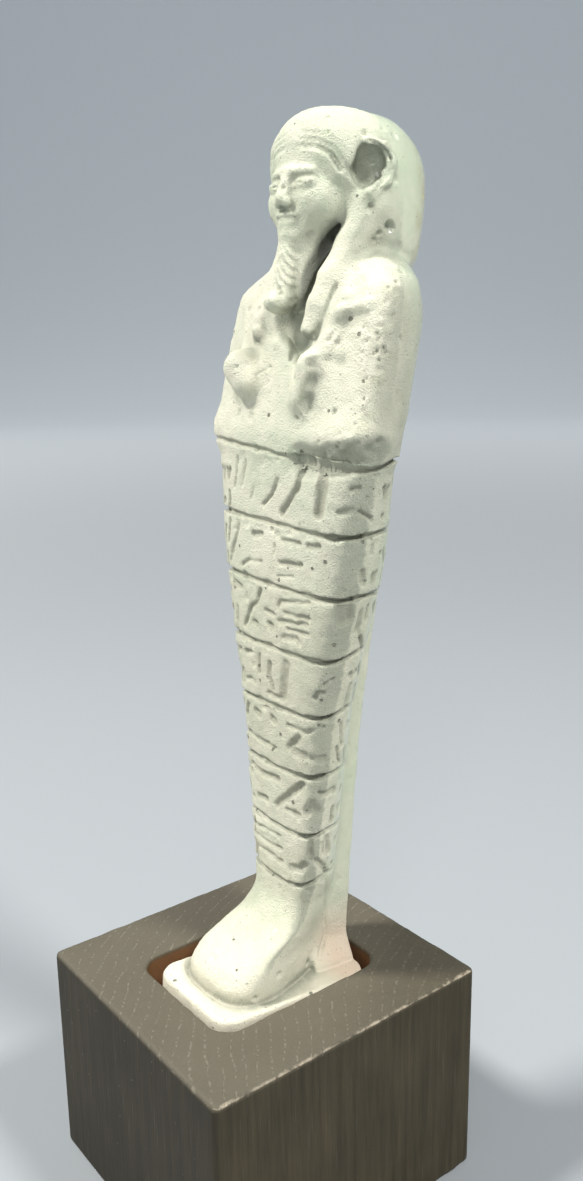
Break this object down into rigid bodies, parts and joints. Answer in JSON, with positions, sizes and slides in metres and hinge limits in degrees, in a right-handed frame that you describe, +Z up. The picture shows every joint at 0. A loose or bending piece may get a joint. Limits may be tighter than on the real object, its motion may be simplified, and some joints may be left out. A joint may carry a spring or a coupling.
{
  "type": "funerary figurine on a stand",
  "caption": "Mummy-shaped funerary figurine of glazed faience with wig, beard, crossed arms and bands of signs, standing in a socket in a dark wooden block.",
  "frame": {"origin": "centre of the wooden stand's underside, on the surface it stands on", "axes": "+Z up; the figurine faces -Y, so its own left side is +X"},
  "size_m": [0.062, 0.0687, 0.2177],
  "materials": {
    "faience": "pale green glazed faience, part glossy and part sandy",
    "stained_wood": "dark brown-black stained wood with worn edges"
  },
  "bodies": {
    "root": {"ushabti": "faience", "wooden_stand": "stained_wood"}
  },
  "joints": []
}
